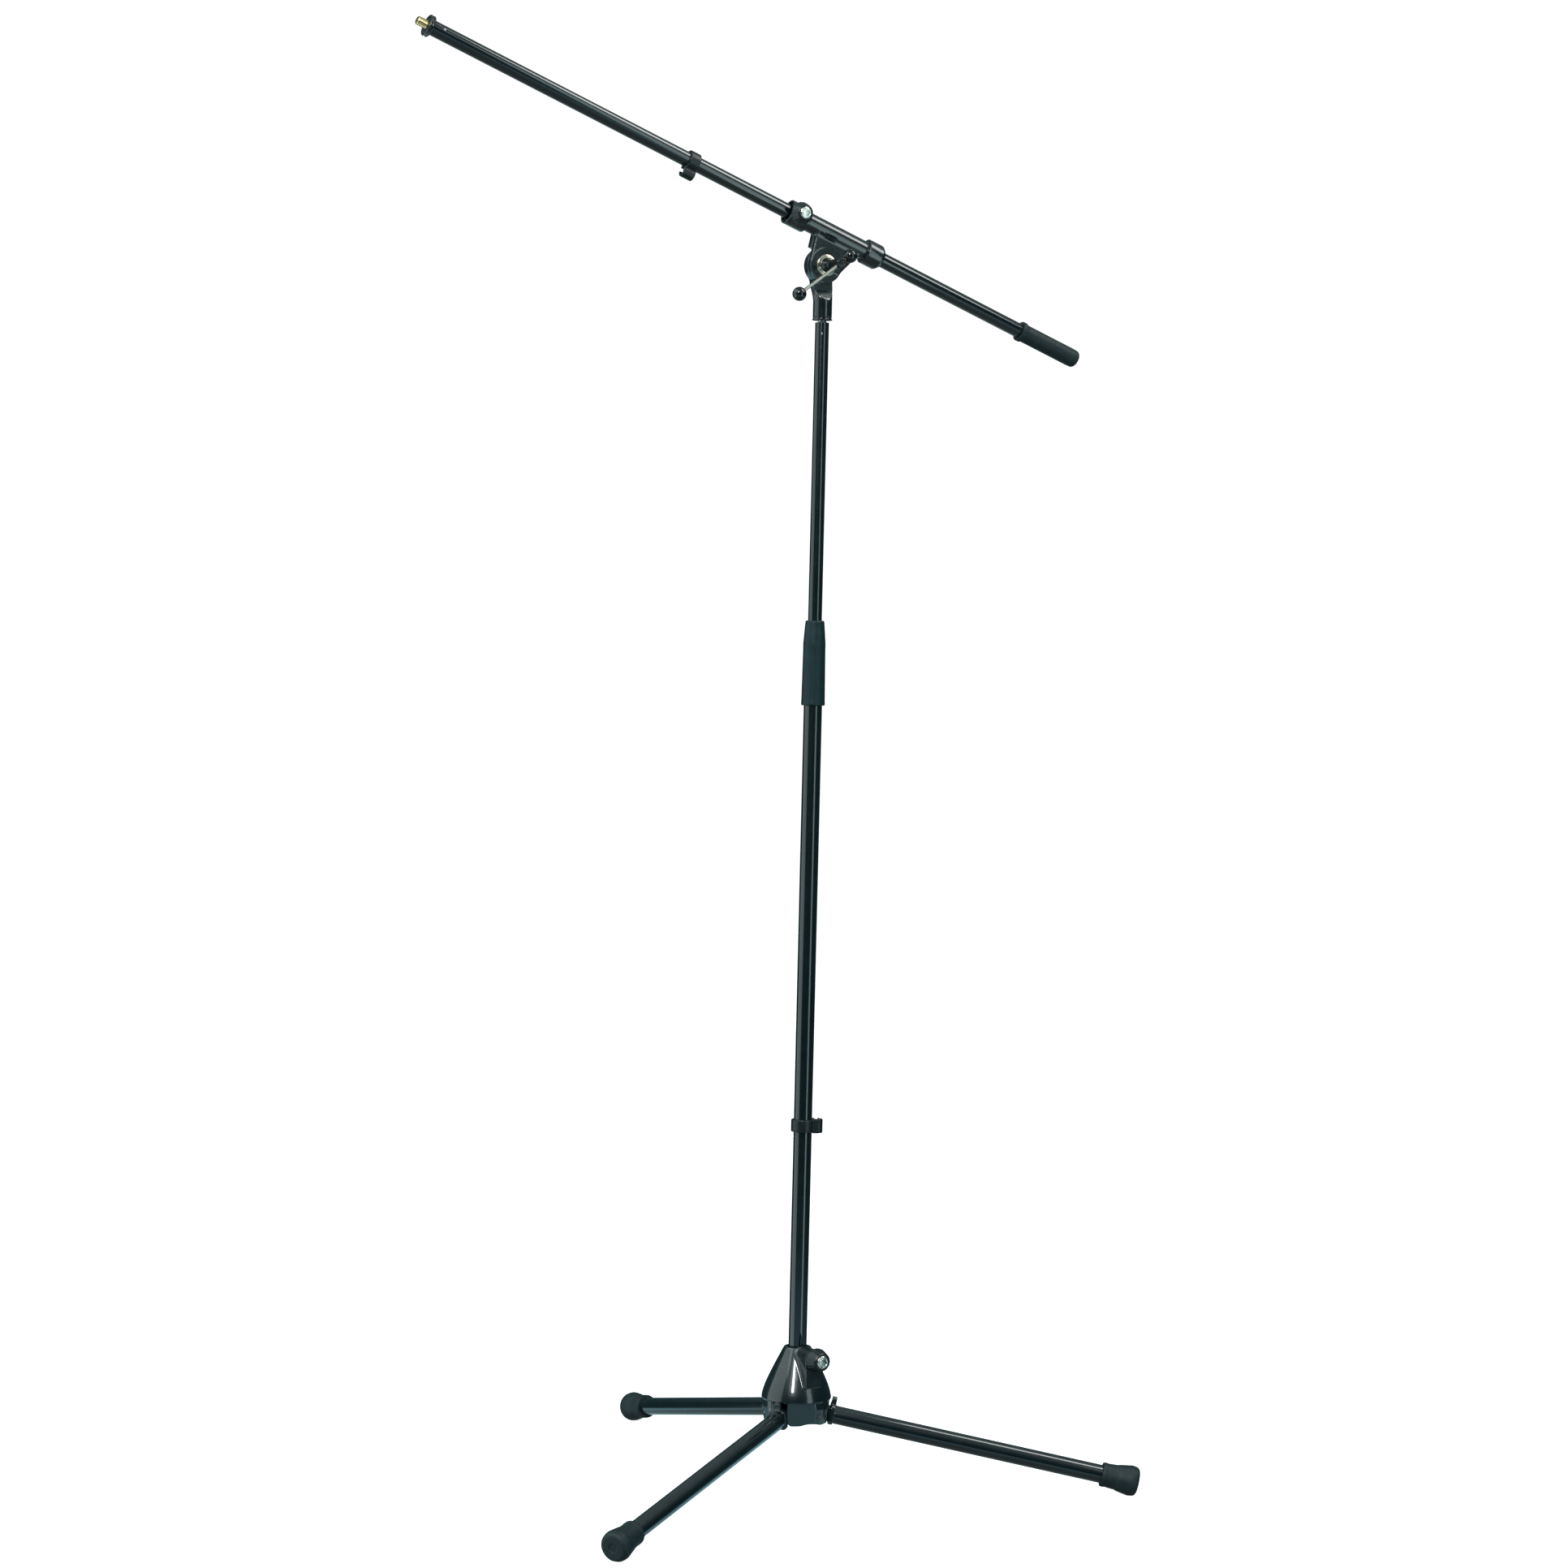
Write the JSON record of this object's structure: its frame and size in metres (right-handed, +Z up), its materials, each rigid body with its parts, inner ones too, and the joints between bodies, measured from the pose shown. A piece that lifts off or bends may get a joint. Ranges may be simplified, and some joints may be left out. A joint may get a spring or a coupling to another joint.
{
  "type": "boom microphone stand",
  "caption": "Tripod microphone stand with a die-cast folding base, a telescoping pole and a one-piece boom on a tilting swivel head.",
  "frame": {"origin": "the point on the floor under the pole's axis", "axes": "+Z up along the pole, the boom lies in the XZ plane with its microphone end towards -X and its knobs on the -Y side"},
  "size_m": [0.8174, 0.5962, 1.5577],
  "materials": {
    "enamel": "gloss",
    "moulded_black": "satin",
    "soft_black": "matt",
    "zinc_steel": "satin",
    "bright_steel": "polished",
    "ball_black": "gloss",
    "brass_stud": "satin",
    "ivory_nylon": "satin",
    "fibre": "matt",
    "ring_black": "satin"
  },
  "bodies": {
    "pole": {"lower_tube": "enamel", "lower_tube_plug": "moulded_black", "clutch_body": "moulded_black"},
    "base": {"base_casting": "enamel", "leg_pivot_pins": "zinc_steel"},
    "leg_1": {"leg_1_hinge_block": "enamel", "leg_1_tube": "enamel", "leg_1_foot": "soft_black"},
    "leg_2": {"leg_2_hinge_block": "enamel", "leg_2_tube": "enamel", "leg_2_foot": "soft_black"},
    "leg_3": {"leg_3_hinge_block": "enamel", "leg_3_tube": "enamel", "leg_3_foot": "soft_black"},
    "base_pad": {"base_pressure_pad": "soft_black"},
    "base_knob": {"base_knob": "moulded_black", "base_knob_cap": "bright_steel", "base_clamp_screw": "zinc_steel"},
    "collet": {"clutch_collet": "ivory_nylon"},
    "clutch_grip": {"clutch_grip": "moulded_black"},
    "pole_clip": {"pole_cable_clip": "moulded_black"},
    "guide_bush": {"tube_guide_bush": "ivory_nylon"},
    "upper_pole": {"upper_tube": "enamel", "top_stud": "zinc_steel", "top_crimp_pin": "zinc_steel", "swivel_socket": "enamel", "friction_disc": "fibre", "pivot_bolt": "zinc_steel"},
    "top_ring": {"top_lock_ring": "ring_black"},
    "head": {"swivel_head": "enamel", "boom_clamp": "enamel", "rear_collar": "enamel"},
    "washer": {"pivot_washer": "bright_steel"},
    "t_hub": {"t_handle_hub": "moulded_black"},
    "t_bar": {"t_bar_rod": "bright_steel", "t_bar_balls": "ball_black"},
    "liner": {"boom_liner": "ivory_nylon"},
    "boom": {"boom_rod": "enamel", "front_stud": "brass_stud", "front_crimp_pin": "zinc_steel", "boom_grip": "soft_black"},
    "front_ring": {"front_lock_ring": "ring_black"},
    "boom_clip": {"boom_cable_clip": "moulded_black"},
    "boom_pad": {"boom_clamp_pad": "soft_black"},
    "boom_knob": {"boom_clamp_knob": "moulded_black", "boom_clamp_knob_cap": "bright_steel", "boom_clamp_screw": "zinc_steel"}
  },
  "joints": [
    {"name": "base_slide", "type": "slide", "parent": "pole", "child": "base", "axis": [0, 0, 1], "range_m": [0, 0.23]},
    {"name": "leg_1_fold", "type": "hinge", "parent": "base", "child": "leg_1", "pos_m": [0.02233, -0.01123, 0.0856], "axis": [0.4493, 0.8934, 0], "range_deg": [0, 78.5]},
    {"name": "leg_2_fold", "type": "hinge", "parent": "base", "child": "leg_2", "pos_m": [-0.00144, 0.02496, 0.0856], "axis": [-0.9983, -0.0576, 0], "range_deg": [0, 78.5]},
    {"name": "leg_3_fold", "type": "hinge", "parent": "base", "child": "leg_3", "pos_m": [-0.0209, -0.01373, 0.0856], "axis": [0.549, -0.8358, 0], "range_deg": [0, 78.5]},
    {"name": "base_pad_travel", "type": "slide", "parent": "base", "child": "base_pad", "axis": [0.0576, -0.9983, 0], "range_m": [0, 0.00187]},
    {"name": "base_knob_turn", "type": "hinge", "parent": "base_pad", "child": "base_knob", "pos_m": [0, 0, 0.149], "axis": [0.0576, -0.9983, 0], "range_deg": [0, 540]},
    {"name": "collet_travel", "type": "slide", "parent": "pole", "child": "collet", "axis": [0, 0, 1], "range_m": [0, 0.0015]},
    {"name": "clutch_turn", "type": "hinge", "parent": "collet", "child": "clutch_grip", "pos_m": [0, 0, 0.904], "axis": [0, 0, 1], "range_deg": [0, 180]},
    {"name": "pole_clip_slide", "type": "slide", "parent": "pole", "child": "pole_clip", "axis": [0, 0, 1], "range_m": [-0.2, 0.35]},
    {"name": "height_slide", "type": "slide", "parent": "pole", "child": "guide_bush", "axis": [0, 0, 1], "range_m": [-0.3, 0.34]},
    {"name": "pan", "type": "hinge", "parent": "guide_bush", "child": "upper_pole", "pos_m": [0, 0, 0.88], "axis": [0, 0, 1], "continuous": true},
    {"name": "top_ring_turn", "type": "hinge", "parent": "upper_pole", "child": "top_ring", "pos_m": [0, 0, 1.275], "axis": [0, 0, 1], "continuous": true},
    {"name": "tilt", "type": "hinge", "parent": "upper_pole", "child": "head", "pos_m": [0, 0, 1.332], "axis": [0, 1, 0], "range_deg": [-100, 69]},
    {"name": "washer_travel", "type": "slide", "parent": "upper_pole", "child": "washer", "axis": [0, -1, 0], "range_m": [0, 0.0019]},
    {"name": "t_handle_turn", "type": "hinge", "parent": "washer", "child": "t_hub", "pos_m": [0, -0.02, 1.332], "axis": [0, -1, 0], "range_deg": [0, 540]},
    {"name": "t_bar_slide", "type": "slide", "parent": "t_hub", "child": "t_bar", "axis": [0.809, 0, 0.5878], "range_m": [0, 0.045]},
    {"name": "boom_roll", "type": "hinge", "parent": "head", "child": "liner", "pos_m": [0.01266, 0, 1.36516], "axis": [-0.9342, 0, 0.3567], "continuous": true},
    {"name": "boom_slide", "type": "slide", "parent": "liner", "child": "boom", "axis": [-0.9342, 0, 0.3567], "range_m": [-0.105, 0.175]},
    {"name": "front_ring_turn", "type": "hinge", "parent": "boom", "child": "front_ring", "pos_m": [-0.4615, 0, 1.54623], "axis": [-0.9342, 0, 0.3567], "continuous": true},
    {"name": "boom_clip_slide", "type": "slide", "parent": "boom", "child": "boom_clip", "axis": [0.9342, 0, -0.3567], "range_m": [-0.29, 0.11]},
    {"name": "boom_pad_travel", "type": "slide", "parent": "head", "child": "boom_pad", "axis": [0, -1, 0], "range_m": [0, 0.0015]},
    {"name": "boom_knob_turn", "type": "hinge", "parent": "boom_pad", "child": "boom_knob", "pos_m": [-0.03703, -0.02, 1.38414], "axis": [0, -1, 0], "range_deg": [0, 540]}
  ],
  "couplings": [
    {"joint": "base_knob_turn", "follows": "base_pad_travel", "rad_per_m": 5026.5},
    {"joint": "clutch_turn", "follows": "collet_travel", "rad_per_m": 2094.4},
    {"joint": "washer_travel", "follows": "t_handle_turn", "m_per_rad": 0.00019894},
    {"joint": "boom_knob_turn", "follows": "boom_pad_travel", "rad_per_m": 6283.2}
  ]
}
